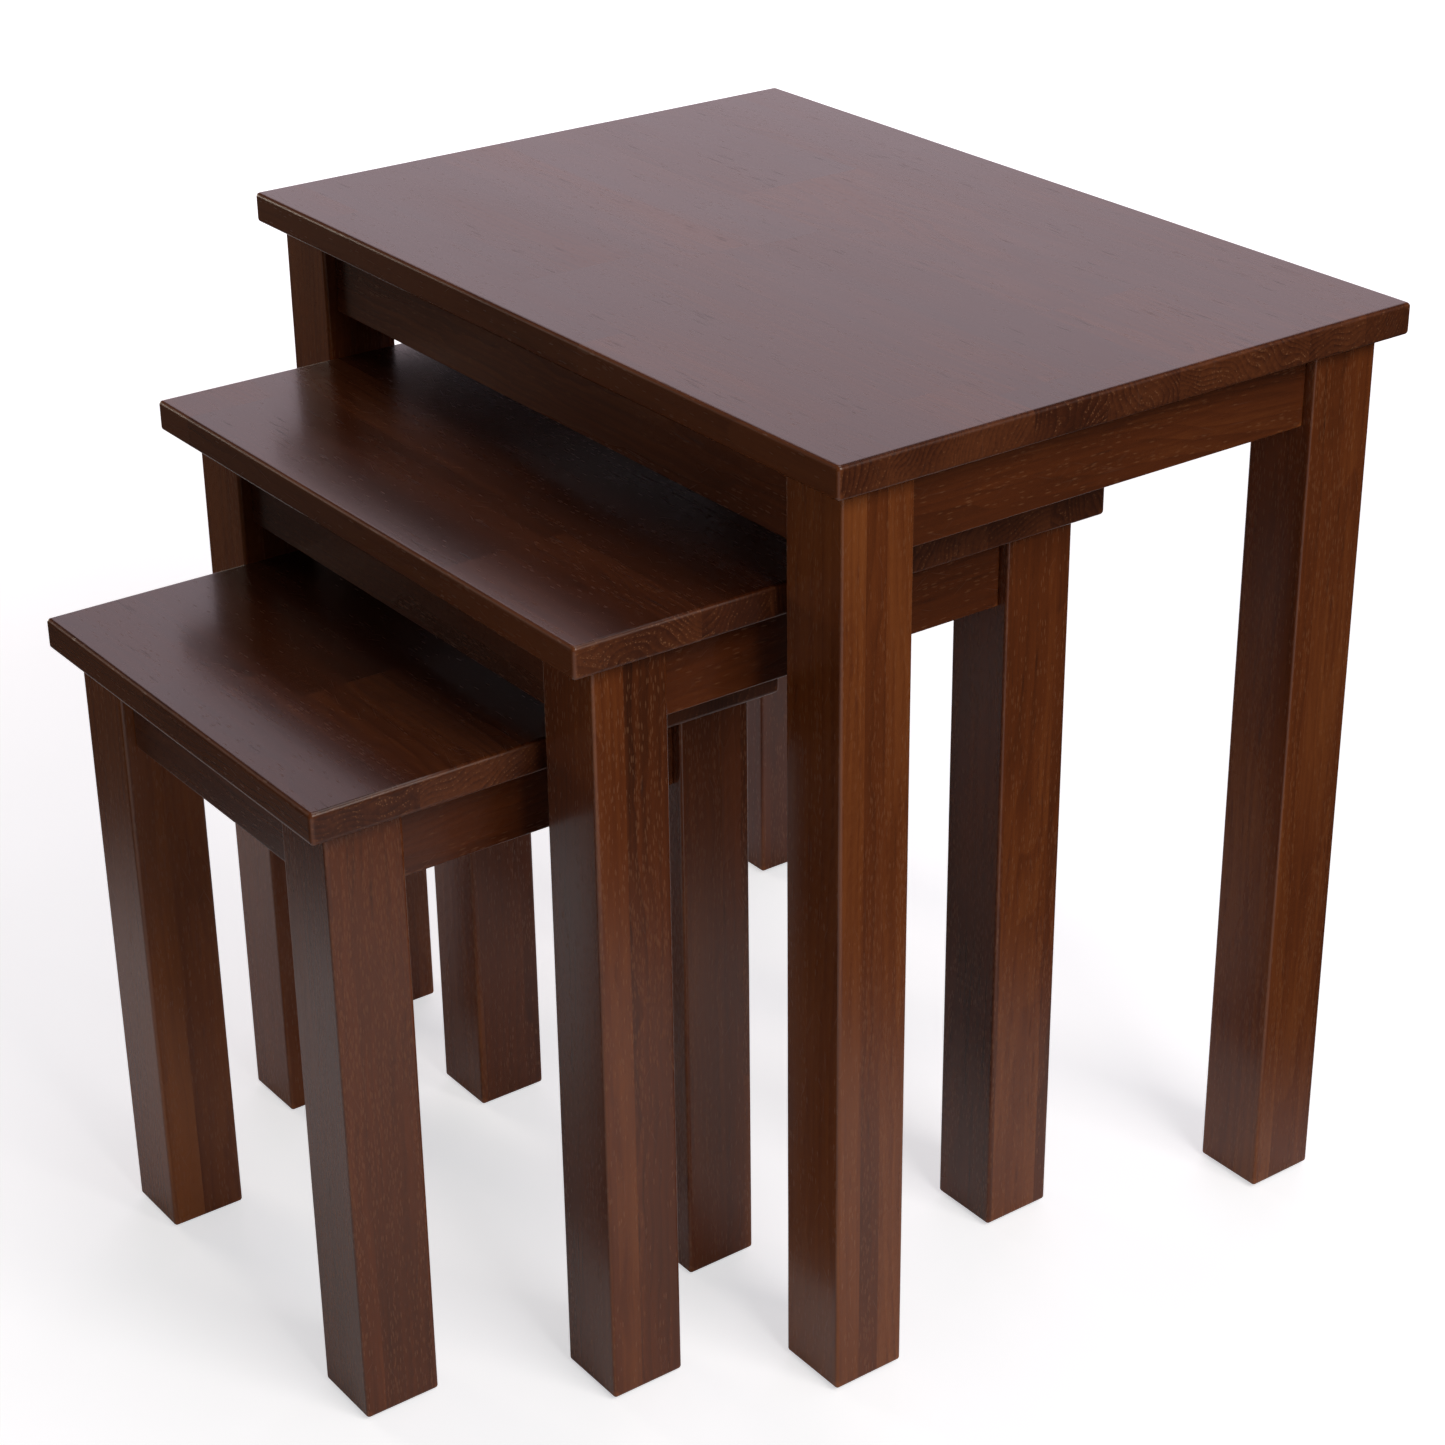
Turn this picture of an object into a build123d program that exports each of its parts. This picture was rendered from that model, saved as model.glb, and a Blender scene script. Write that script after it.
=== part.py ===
from build123d import *
import os

# A nest of three solid-wood side tables. Each table is a slab top on four square legs, which are
# joined by a frame of four rails. Dowels hold the rails to the legs, and a glued and screwed
# block in each corner stiffens the frame and carries the screw that holds the top down.
# Each table slides on its felt pads between the legs of the next larger one.
# Millimetres. +X right, +Y to the back, +Z up. The origin is on the floor, at the middle of the
# nest's footprint with the middle and small tables drawn out part of the way.

# ---- the nest
TABLES = ("large", "middle", "small")
HEIGHTS = (550.0, 463.0, 381.0)        # floor to the upper face of each top
FRONT_OVERHANGS = (12.0, 18.0, 13.0)   # each top past its own front legs
DRAWN_OUT = (0.0, 127.0, 269.0)        # each table forward of the large one, middle to middle
LARGE_WIDTH = 560.0                    # of the top
LARGE_FRAME_DEPTH = 364.0              # over the front and back legs
FRAME_DEPTH_STEP = 52.0                # each frame is this much shallower than the larger one
OVERHANG = 12.0                        # each top past its legs at the sides and the back
NEST_CLEARANCE = 10.0                  # each side, between a top and the legs it slides between

# ---- wooden pieces
TOP_THICKNESS = 18.0
TOP_CORNER_RADIUS = 3.0
TOP_EDGE_RADIUS = 2.2
LEG_SIZE = 45.0
LEG_EDGE_RADIUS = 2.0
LEG_FOOT_CHAMFER = 1.5
RAIL_HEIGHT = 45.0
RAIL_THICKNESS = 18.0
RAIL_SETBACK = 7.0                     # rail's outer face behind the leg's outer face
RAIL_EDGE_RADIUS = 1.2

# ---- corner blocks: four-sided, one face on each rail, clear of the leg's inner corner
BLOCK_HEIGHT = 36.0
BLOCK_START = 67.0                     # from the leg's outer corner, along the rail
BLOCK_LENGTH = 28.0                    # of the face that is glued to the rail

# ---- dowels: two in each rail end
DOWEL_RADIUS = 4.0
DOWEL_LENGTH = 40.0
DOWEL_PITCH = 22.0                     # between the two of a pair, up and down
DOWEL_CHAMFER = 1.0
DOWEL_HOLE_SPARE = 1.0                 # the hole is deeper than half a dowel by this much

# ---- screws
BLOCK_SCREW_RADIUS = 2.0
BLOCK_SCREW_LENGTH = 22.0              # under the head
BLOCK_SCREW_GRIP = 10.0                # of block between the screw's head and the rail
BLOCK_SCREW_INSET = 11.2               # along the rail from the block's end nearer the leg
TOP_SCREW_RADIUS = 2.25
TOP_SCREW_LENGTH = 35.0
TOP_SCREW_RECESS = 14.0                # depth of the recess for the head, in the block's underside
TOP_SCREW_SLOT_RADIUS = 3.0            # wide hole, so that the top can shrink and swell
HEAD_RADIUS = 4.0
HEAD_HEIGHT = 3.0
HEAD_ROUND = 0.8
CROSS_LENGTH = 4.4
CROSS_WIDTH = 0.9
CROSS_DEPTH = 1.6
TIP_LENGTH = 3.0
TIP_RADIUS = 0.4
RECESS_PLAY = 0.5                      # recess wall to screw head
HOLE_PLAY = 0.05                       # hole wall to dowel or screw
HOLE_SPARE = 1.0                       # hole past the tip of a screw

# ---- felt pads
PAD_RADIUS = 16.0
PAD_THICKNESS = 2.0

# ---- worked out from the sizes above
RAIL_INNER = RAIL_SETBACK + RAIL_THICKNESS          # rail's inner face from the leg's outer face
RAIL_MIDDLE = RAIL_SETBACK + RAIL_THICKNESS / 2
BLOCK_END = BLOCK_START + BLOCK_LENGTH
BLOCK_SCREW_ALONG = BLOCK_START + BLOCK_SCREW_INSET
TOP_SCREW_PLACE = (RAIL_INNER + (BLOCK_START + BLOCK_END) / 2) / 2   # in from both leg faces
NEST_BACK = LARGE_FRAME_DEPTH / 2 + OVERHANG
SMALL_FRAME_DEPTH = LARGE_FRAME_DEPTH - 2 * FRAME_DEPTH_STEP
NEST_FRONT = -DRAWN_OUT[2] - SMALL_FRAME_DEPTH / 2 - FRONT_OVERHANGS[2]
LARGE_MIDDLE_Y = -(NEST_BACK + NEST_FRONT) / 2      # puts the origin mid-way, front to back

ON_FLOOR = (Align.CENTER, Align.CENTER, Align.MIN)
HUNG = (Align.CENTER, Align.CENTER, Align.MAX)
CORNERS = {
    "front_left": (-1, -1),
    "front_right": (1, -1),
    "back_left": (-1, 1),
    "back_right": (1, 1),
}


def rod(radius, start, end):
    """A plain round bar from start to end, also used to bore holes."""
    span = Vector(end) - Vector(start)
    return Plane(origin=start, z_dir=span) * Cylinder(radius, span.length, align=ON_FLOOR)


def dowel(start, end):
    """A round dowel with a small chamfer at each end."""
    pin = rod(DOWEL_RADIUS, start, end)
    return chamfer(pin.edges().filter_by(GeomType.CIRCLE), DOWEL_CHAMFER)


def screw(radius, length, seat, direction):
    """A round-headed screw with a cross recess. seat is the middle of the head's underside."""
    head = Cylinder(HEAD_RADIUS, HEAD_HEIGHT, align=HUNG)
    rim = head.edges().filter_by(GeomType.CIRCLE).sort_by(Axis.Z)[0]
    head = fillet(rim, HEAD_ROUND)
    shank = Cylinder(radius, length - TIP_LENGTH, align=ON_FLOOR)
    tip = Pos(0, 0, length - TIP_LENGTH) * Cone(radius, TIP_RADIUS, TIP_LENGTH, align=ON_FLOOR)
    cross_place = Pos(0, 0, -HEAD_HEIGHT)
    slots = [(CROSS_LENGTH, CROSS_WIDTH), (CROSS_WIDTH, CROSS_LENGTH)]
    piece = head + shank + tip
    for slot_x, slot_y in slots:
        piece -= cross_place * Box(slot_x, slot_y, 2 * CROSS_DEPTH)
    return Plane(origin=seat, z_dir=direction) * piece


def rounded_box(size_x, size_y, size_z, upright_radius, level_radius=0.0):
    """A box on z = 0 with rounded upright edges and, where wanted, rounded level edges."""
    block = Box(size_x, size_y, size_z, align=ON_FLOOR)
    block = fillet(block.edges().filter_by(Axis.Z), upright_radius)
    if level_radius:
        for end in (-1, 0):
            block = fillet(block.faces().sort_by(Axis.Z)[end].edges(), level_radius)
    return block


class Table:
    """One table of the nest, in the nest's own axes."""

    def __init__(self, number):
        self.name = TABLES[number]
        self.frame_depth = LARGE_FRAME_DEPTH - number * FRAME_DEPTH_STEP
        self.top_width = LARGE_WIDTH
        for _ in range(number):
            room_between_legs = self.top_width - 2 * OVERHANG - 2 * LEG_SIZE
            self.top_width = room_between_legs - 2 * NEST_CLEARANCE
        self.frame_width = self.top_width - 2 * OVERHANG
        self.front_overhang = FRONT_OVERHANGS[number]
        self.underside = HEIGHTS[number] - TOP_THICKNESS
        self.middle_y = LARGE_MIDDLE_Y - DRAWN_OUT[number]

    def at(self, corner, in_x, in_y, z):
        """The point in_x and in_y inwards from a leg's outer corner."""
        side_x, side_y = CORNERS[corner]
        x = side_x * (self.frame_width / 2 - in_x)
        y = self.middle_y + side_y * (self.frame_depth / 2 - in_y)
        return (x, y, z)

    def both_ways(self, corner, along, across, z):
        """The same place on the corner's side rail and on its front or back rail."""
        return [self.at(corner, along, across, z), self.at(corner, across, along, z)]

    def dowel_runs(self, corner, spare=0.0):
        """Start and end of the four dowels of a corner, or of their holes with spare depth."""
        runs = []
        for step in (-1, 1):
            z = self.underside - RAIL_HEIGHT / 2 + step * DOWEL_PITCH / 2
            reach = DOWEL_LENGTH / 2 + spare
            starts = self.both_ways(corner, LEG_SIZE - reach, RAIL_MIDDLE, z)
            ends = self.both_ways(corner, LEG_SIZE + reach, RAIL_MIDDLE, z)
            runs += list(zip(starts, ends))
        return runs

    def block_screw_places(self, corner):
        """Seat of each block screw's head, and the direction that it is driven in."""
        z = self.underside - BLOCK_HEIGHT / 2
        seats = self.both_ways(corner, BLOCK_SCREW_ALONG, RAIL_INNER + BLOCK_SCREW_GRIP, z)
        side_x, side_y = CORNERS[corner]
        return list(zip(seats, [(0, side_y, 0), (side_x, 0, 0)]))

    def top_screw_seat(self, corner):
        z = self.underside - BLOCK_HEIGHT + TOP_SCREW_RECESS
        return self.at(corner, TOP_SCREW_PLACE, TOP_SCREW_PLACE, z)

    def top(self):
        depth = self.frame_depth + self.front_overhang + OVERHANG
        shift_y = (OVERHANG - self.front_overhang) / 2
        slab = rounded_box(
            self.top_width, depth, TOP_THICKNESS, TOP_CORNER_RADIUS, TOP_EDGE_RADIUS
        )
        slab = Pos(0, self.middle_y + shift_y, self.underside) * slab
        for corner in CORNERS:
            start = self.top_screw_seat(corner)
            tip = Vector(start) + Vector(0, 0, TOP_SCREW_LENGTH + HOLE_SPARE)
            slab -= rod(TOP_SCREW_RADIUS + HOLE_PLAY, start, tip)
        return slab

    def leg(self, corner):
        post = rounded_box(LEG_SIZE, LEG_SIZE, self.underside - PAD_THICKNESS, LEG_EDGE_RADIUS)
        post = chamfer(post.faces().sort_by(Axis.Z)[0].edges(), LEG_FOOT_CHAMFER)
        post = Pos(*self.at(corner, LEG_SIZE / 2, LEG_SIZE / 2, PAD_THICKNESS)) * post
        for start, end in self.dowel_runs(corner, DOWEL_HOLE_SPARE):
            post -= rod(DOWEL_RADIUS + HOLE_PLAY, start, end)
        return post

    def rail(self, side):
        """A rail between two legs: front and back rails run along X, side rails along Y."""
        corners = [corner for corner in CORNERS if side in corner]
        if side in ("front", "back"):
            size = (self.frame_width - 2 * LEG_SIZE, RAIL_THICKNESS)
            ends = [self.at(corner, LEG_SIZE, RAIL_MIDDLE, 0) for corner in corners]
            along, screw_number = Axis.X, 0
        else:
            size = (RAIL_THICKNESS, self.frame_depth - 2 * LEG_SIZE)
            ends = [self.at(corner, RAIL_MIDDLE, LEG_SIZE, 0) for corner in corners]
            along, screw_number = Axis.Y, 1
        bar = Box(size[0], size[1], RAIL_HEIGHT, align=HUNG)
        bar = fillet(bar.edges().filter_by(along), RAIL_EDGE_RADIUS)
        middle = (Vector(ends[0]) + Vector(ends[1])) / 2
        bar = Pos(middle.X, middle.Y, self.underside) * bar
        for corner in corners:
            for start, end in self.dowel_runs(corner, DOWEL_HOLE_SPARE):
                bar -= rod(DOWEL_RADIUS + HOLE_PLAY, start, end)
            seat, direction = self.block_screw_places(corner)[screw_number]
            tip = Vector(seat) + Vector(direction) * (BLOCK_SCREW_LENGTH + HOLE_SPARE)
            bar -= rod(BLOCK_SCREW_RADIUS + HOLE_PLAY, seat, tip)
        return bar

    def corner_block(self, corner):
        bottom = self.underside - BLOCK_HEIGHT
        outline = [
            self.at(corner, BLOCK_START, RAIL_INNER, bottom),
            self.at(corner, BLOCK_END, RAIL_INNER, bottom),
            self.at(corner, RAIL_INNER, BLOCK_END, bottom),
            self.at(corner, RAIL_INNER, BLOCK_START, bottom),
        ]
        base = make_face(Polyline(*outline, close=True))
        block = extrude(base, BLOCK_HEIGHT, dir=(0, 0, 1))
        for seat, direction in self.block_screw_places(corner):
            seat, way = Vector(seat), Vector(direction)
            block -= rod(BLOCK_SCREW_RADIUS + HOLE_PLAY, seat, seat + way * 2 * BLOCK_SCREW_GRIP)
            block -= rod(HEAD_RADIUS + RECESS_PLAY, seat, seat - way * BLOCK_LENGTH)
        seat = Vector(self.top_screw_seat(corner))
        up = Vector(0, 0, 1)
        block -= rod(TOP_SCREW_SLOT_RADIUS, seat, seat + up * BLOCK_HEIGHT)
        block -= rod(HEAD_RADIUS + RECESS_PLAY, seat, seat - up * BLOCK_HEIGHT)
        return block

    def nodes(self):
        """Every node of the table by name, each one solid or a group of like solids."""
        made = {"top": self.top()}
        for corner in CORNERS:
            made[f"leg_{corner}"] = self.leg(corner)
            made[f"corner_block_{corner}"] = self.corner_block(corner)
        for side in ("front", "back", "left", "right"):
            made[f"rail_{side}"] = self.rail(side)
        dowels, block_screws, top_screws, pads = [], [], [], []
        for corner in CORNERS:
            dowels += [dowel(start, end) for start, end in self.dowel_runs(corner)]
            for seat, direction in self.block_screw_places(corner):
                block_screws.append(
                    screw(BLOCK_SCREW_RADIUS, BLOCK_SCREW_LENGTH, seat, direction)
                )
            seat = self.top_screw_seat(corner)
            top_screws.append(screw(TOP_SCREW_RADIUS, TOP_SCREW_LENGTH, seat, (0, 0, 1)))
            place = self.at(corner, LEG_SIZE / 2, LEG_SIZE / 2, 0)
            pads.append(Pos(*place) * Cylinder(PAD_RADIUS, PAD_THICKNESS, align=ON_FLOOR))
        made["dowels"] = Compound(children=dowels)
        made["block_screws"] = Compound(children=block_screws)
        made["top_screws"] = Compound(children=top_screws)
        made["felt_pads"] = Compound(children=pads)
        return {f"{self.name}_{piece}": shape for piece, shape in made.items()}


os.makedirs("parts", exist_ok=True)
for number in range(len(TABLES)):
    table = Table(number)
    print(
        f"{table.name}: top {table.top_width:.0f} wide, frame {table.frame_width:.0f} by "
        f"{table.frame_depth:.0f}, middle at y {table.middle_y:.1f}"
    )
    for node, shape in table.nodes().items():
        export_step(shape, f"parts/{node}.step")
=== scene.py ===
# %% [markdown]
# # A nest of three walnut-stained side tables
# Each table is a slab top, four square legs and four rails, all dressed by the same hands: the
# stock is planed, glued up, sanded, its edges eased, stained dark and lacquered to a satin gloss.
# The CAD model fixes every size, place and motion. This script gives each piece its worked shape
# and its finish, and never moves a CAD part.

# %% Load the frame
import math

import bpy
from mathutils import Matrix, Vector


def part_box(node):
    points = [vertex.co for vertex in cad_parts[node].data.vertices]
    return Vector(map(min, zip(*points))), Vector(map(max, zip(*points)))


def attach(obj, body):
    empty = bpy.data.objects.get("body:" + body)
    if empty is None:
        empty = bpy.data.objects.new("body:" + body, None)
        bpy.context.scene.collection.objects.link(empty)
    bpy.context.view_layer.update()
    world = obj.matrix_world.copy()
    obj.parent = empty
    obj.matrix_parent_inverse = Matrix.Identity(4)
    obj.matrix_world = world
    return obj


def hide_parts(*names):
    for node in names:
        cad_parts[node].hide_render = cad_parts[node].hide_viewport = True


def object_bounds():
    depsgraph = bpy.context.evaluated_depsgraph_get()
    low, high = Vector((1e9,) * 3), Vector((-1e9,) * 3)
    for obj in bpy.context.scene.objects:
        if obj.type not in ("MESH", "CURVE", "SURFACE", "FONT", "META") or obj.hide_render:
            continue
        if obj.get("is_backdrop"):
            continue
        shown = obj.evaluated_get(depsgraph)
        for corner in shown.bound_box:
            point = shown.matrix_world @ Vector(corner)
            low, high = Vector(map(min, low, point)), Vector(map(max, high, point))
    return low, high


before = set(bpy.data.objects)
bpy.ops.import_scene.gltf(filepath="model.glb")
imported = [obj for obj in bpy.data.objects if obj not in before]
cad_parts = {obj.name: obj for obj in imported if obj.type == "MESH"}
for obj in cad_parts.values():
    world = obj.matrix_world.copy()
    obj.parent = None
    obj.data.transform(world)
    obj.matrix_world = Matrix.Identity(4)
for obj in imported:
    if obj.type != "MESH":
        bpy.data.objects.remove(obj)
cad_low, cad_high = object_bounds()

TABLES = ("large", "middle", "small")
CORNERS = ("front_left", "front_right", "back_left", "back_right")
print("nodes", len(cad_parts), "box", [round(v, 4) for v in (*cad_low, *cad_high)])

# %% [markdown]
# ## Camera
# A long lens from the front right, a little above the tallest top, keeps the legs nearly
# parallel. The lens is written as a focal length on a 36 mm sensor. A camera can be pointed with a
# constraint, but three angles are easier to read and leave nothing live in the file: the compass
# angle that it looks from, how far it looks down, and a slight lean.

# %% Camera
CAMERA_PLACE = (1.3443, -0.9271, 1.0880)
CAMERA_AZIMUTH = 53.370
CAMERA_LOOKS_DOWN = 26.278
CAMERA_LEAN = -0.433
LENS = 77.94
SIDE_SHIFT = -0.0209


def make_camera():
    data = bpy.data.cameras.new("viewpoint")
    data.lens = LENS
    data.sensor_width = 36.0
    data.shift_x = SIDE_SHIFT
    camera = bpy.data.objects.new("viewpoint", data)
    bpy.context.scene.collection.objects.link(camera)
    tilt = Matrix.Rotation(math.radians(90 - CAMERA_LOOKS_DOWN), 4, "X")
    lean = Matrix.Rotation(math.radians(CAMERA_LEAN), 4, "Z")
    compass = Matrix.Rotation(math.radians(CAMERA_AZIMUTH), 4, "Z")
    camera.matrix_world = Matrix.Translation(CAMERA_PLACE) @ compass @ tilt @ lean
    bpy.context.scene.camera = camera


make_camera()
print("camera", LENS, "mm,", round((Vector(CAMERA_PLACE) - (cad_low + cad_high) / 2).length, 2), "m off")

# %% [markdown]
# ## Small helpers for node trees
# Shader trees and geometry trees share their mathematics nodes, so one set of helpers serves
# both. A value handed to a helper is either a plain number or another node's output. Every output
# knows which tree it belongs to, so a helper need not be told where to put the new node.

# %% Node helpers
GIVING_A_NUMBER = ("LENGTH", "DOT_PRODUCT")


def node(tree, kind, **settings):
    made = tree.nodes.new(kind)
    for name, value in settings.items():
        setattr(made, name, value)
    return made


def feed(value, socket):
    """Links an output into a socket, or sets the socket to a plain value."""
    if isinstance(value, bpy.types.NodeSocket):
        socket.id_data.links.new(value, socket)
    else:
        socket.default_value = value


def feed_all(made, values):
    """Feeds inputs by name. An underscore in a name stands for a space."""
    for label, value in values.items():
        feed(value, made.inputs[label.replace("_", " ")])


def feed_in_order(made, values):
    for value, socket in zip(values, made.inputs):
        feed(value, socket)


def tree_of(*values):
    """The tree that the first output among the values belongs to."""
    return next(v.id_data for v in values if isinstance(v, bpy.types.NodeSocket))


def maths(operation, *values):
    """Works on vectors if any value is one, each axis by itself, and otherwise on numbers."""
    if not any(isinstance(v, tuple) or getattr(v, "type", "") == "VECTOR" for v in values):
        made = node(tree_of(*values), "ShaderNodeMath", operation=operation)
        feed_in_order(made, values)
        return made.outputs[0]
    made = node(tree_of(*values), "ShaderNodeVectorMath", operation=operation)
    feed_in_order(made, [(v,) * 3 if isinstance(v, (int, float)) else v for v in values])
    return made.outputs["Value" if operation in GIVING_A_NUMBER else "Vector"]


def plus(first, second):
    return maths("ADD", first, second)


def minus(first, second):
    return maths("SUBTRACT", first, second)


def times(first, second):
    return maths("MULTIPLY", first, second)


def over(first, second):
    return maths("DIVIDE", first, second)


def least(first, second):
    return maths("MINIMUM", first, second)


def most(first, second):
    return maths("MAXIMUM", first, second)


def combine(x, y, z):
    made = node(tree_of(x, y, z), "ShaderNodeCombineXYZ")
    feed_in_order(made, (x, y, z))
    return made.outputs[0]


def separate(value):
    made = node(tree_of(value), "ShaderNodeSeparateXYZ")
    feed(value, made.inputs[0])
    return made.outputs


def remap(value, low, high, to_low=0.0, to_high=1.0, smooth=False):
    made = node(tree_of(value), "ShaderNodeMapRange", clamp=True)
    made.interpolation_type = "SMOOTHSTEP" if smooth else "LINEAR"
    feed_in_order(made, (value, low, high, to_low, to_high))
    return made.outputs[0]


def noise(place, scale, detail=2.0, roughness=0.5, distortion=0.0):
    made = node(tree_of(place), "ShaderNodeTexNoise")
    shape = {"Detail": detail, "Roughness": roughness, "Distortion": distortion}
    feed_all(made, {"Vector": place, "Scale": scale} | shape)
    return made.outputs["Fac"]


def stretched_noise(place, stretch, *shape):
    """Noise squeezed by how often it changes in a metre along each axis."""
    return noise(times(place, stretch), 1.0, *shape)


def random_cells(place, scale=1.0, **settings):
    made = node(tree_of(place), "ShaderNodeTexVoronoi", feature="F1", **settings)
    feed_all(made, {"Vector": place, "Scale": scale})
    return made.outputs


def through(kind, geometry, **values):
    """Passes geometry through one node."""
    made = node(tree_of(geometry), kind)
    feed_all(made, {"Geometry": geometry} | values)
    return made.outputs[0]


FLOAT, VECTOR = "NodeSocketFloat", "NodeSocketVector"
GEOMETRY, MATERIAL = "NodeSocketGeometry", "NodeSocketMaterial"


def new_tree(name, kind, inputs, outputs):
    """An empty node group with named sockets. Returns it with its inner input and output ends.

    An input is written as its kind, or as a number, which makes it a float with that default.
    """
    tree = bpy.data.node_groups.new(name, kind)
    if kind == "GeometryNodeTree":
        tree.is_modifier = True
    for label, given in inputs.items():
        is_number = isinstance(given, float)
        socket_kind = FLOAT if is_number else given
        socket = tree.interface.new_socket(label, in_out="INPUT", socket_type=socket_kind)
        if is_number:
            socket.default_value = given
    for label, socket_kind in outputs.items():
        tree.interface.new_socket(label, in_out="OUTPUT", socket_type=socket_kind)
    return tree, node(tree, "NodeGroupInput").outputs, node(tree, "NodeGroupOutput").inputs


print("kinds of socket in use:", FLOAT, VECTOR, GEOMETRY, MATERIAL)

# %% [markdown]
# ## Shading effects shared by the woods
# Real wood is a solid figure that each cut shows a slice of. So the figure is made in three
# dimensions, as rings round a pith that lies along the grain: a long face cuts the rings
# almost lengthwise and shows flame shapes and streaks, and an end cuts them square and shows
# arcs. A flat picture of grain wrapped round the piece would never meet at the corners.
# Every wooden piece carries its own grain coordinates, written by the tree that shapes it: x runs
# along the grain, y across the width and z through the thickness, in metres.

# %% Staves: how a glued-up board is divided
STAVE_SEAM = 0.0005         # width of the glue line that shows
ROW_SHIFT = 0.37            # of a row, from each piece to the next
ROW_SWAY = 2.4              # how quickly wide and narrow staves take turns
LENGTHS_SHIFT = 7.0         # the most that one row's joints are off another's
JUMP = (9.0, 0.5, 0.5)      # metres that a stave's wood may lie from its neighbour's


def make_stave_group():
    """Rows of staves side by side, each row cut into lengths, with a random tint and place."""
    tree, given, out = new_tree(
        "stave layout", "ShaderNodeTree",
        {"Grain": VECTOR, "Piece": 0.0, "Stave Width": 0.06, "Stave Length": 0.3, "Unevenness": 0.2},
        {"Tint": FLOAT, "Openness": FLOAT, "Place": VECTOR, "Seam": FLOAT},
    )
    x, y, _ = separate(given["Grain"])
    rows = over(y, given["Stave Width"])
    rows = plus(rows, times(given["Piece"], ROW_SHIFT))
    sway = maths("SINE", times(rows, ROW_SWAY))
    rows = plus(rows, times(sway, given["Unevenness"]))
    row = maths("FLOOR", rows)
    row_luck = node(tree, "ShaderNodeTexWhiteNoise", noise_dimensions="2D")
    feed(combine(row, given["Piece"], 0.0), row_luck.inputs["Vector"])
    lengths = over(x, given["Stave Length"])
    offset = times(row_luck.outputs["Value"], LENGTHS_SHIFT)
    lengths = plus(lengths, offset)
    block = maths("FLOOR", lengths)
    luck = node(tree, "ShaderNodeTexWhiteNoise", noise_dimensions="3D")
    feed(combine(row, block, given["Piece"]), luck.inputs["Vector"])
    feed(luck.outputs["Value"], out["Tint"])
    feed(separate(luck.outputs["Color"])[1], out["Openness"])
    jump = times(luck.outputs["Color"], JUMP)
    feed(plus(given["Grain"], jump), out["Place"])
    seams = []
    for run, size in ((rows, given["Stave Width"]), (lengths, given["Stave Length"])):
        part = maths("FRACT", run)
        near = least(part, minus(1.0, part))
        seams.append(remap(times(near, size), 0.0, STAVE_SEAM, 1.0, 0.0))
    feed(most(*seams), out["Seam"])
    return tree


stave_group = make_stave_group()
print("stave layout:", len(stave_group.nodes), "nodes")

# %% [markdown]
# ### Figure
# A tree adds a ring each year: pale open wood in spring, dark dense wood by autumn, then a sharp
# line. Vessels cut through by the plane are the pores, short dashes along a face and dots across
# an end. A brick or wave texture gives stripes of one width. Here the radius from a bent pith is
# counted in years, so the stripes swell, meet and close as real ones do. Pores and dark flecks
# are long cells kept or dropped at random.

# %% Figure: rings, fibre and pores of solid wood
# How often each thing changes in a metre, along the grain and twice across it
RING_STRETCH = (1.1, 9.0, 9.0)
SWAY_STRETCH = (20.0, 30.0, 30.0)
YEAR_STRETCH = (2.0, 60.0, 60.0)
FIBRE_STRETCH = (7.0, 420.0, 420.0)
CLOUD_STRETCH = (3.5, 16.0, 16.0)
PORE_STRETCH = (170.0, 900.0, 900.0)
PATCH_STRETCH = (5.0, 90.0, 90.0)
FLECK_STRETCH = (48.0, 420.0, 420.0)
SWAY = 0.005                        # metres from side to side
PITH_SLOPE = 0.02                   # the pith's drift across, for each metre along
PITH_PLACE = (0.0, 0.22, 0.17)      # from the middle of the board
BENDING = 6.0                       # how far the rings bend for each metre of wander
LATE_WOOD = 2.2                     # the higher, the later in the year the wood darkens
FLECK_SHARE = 0.32


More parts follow.
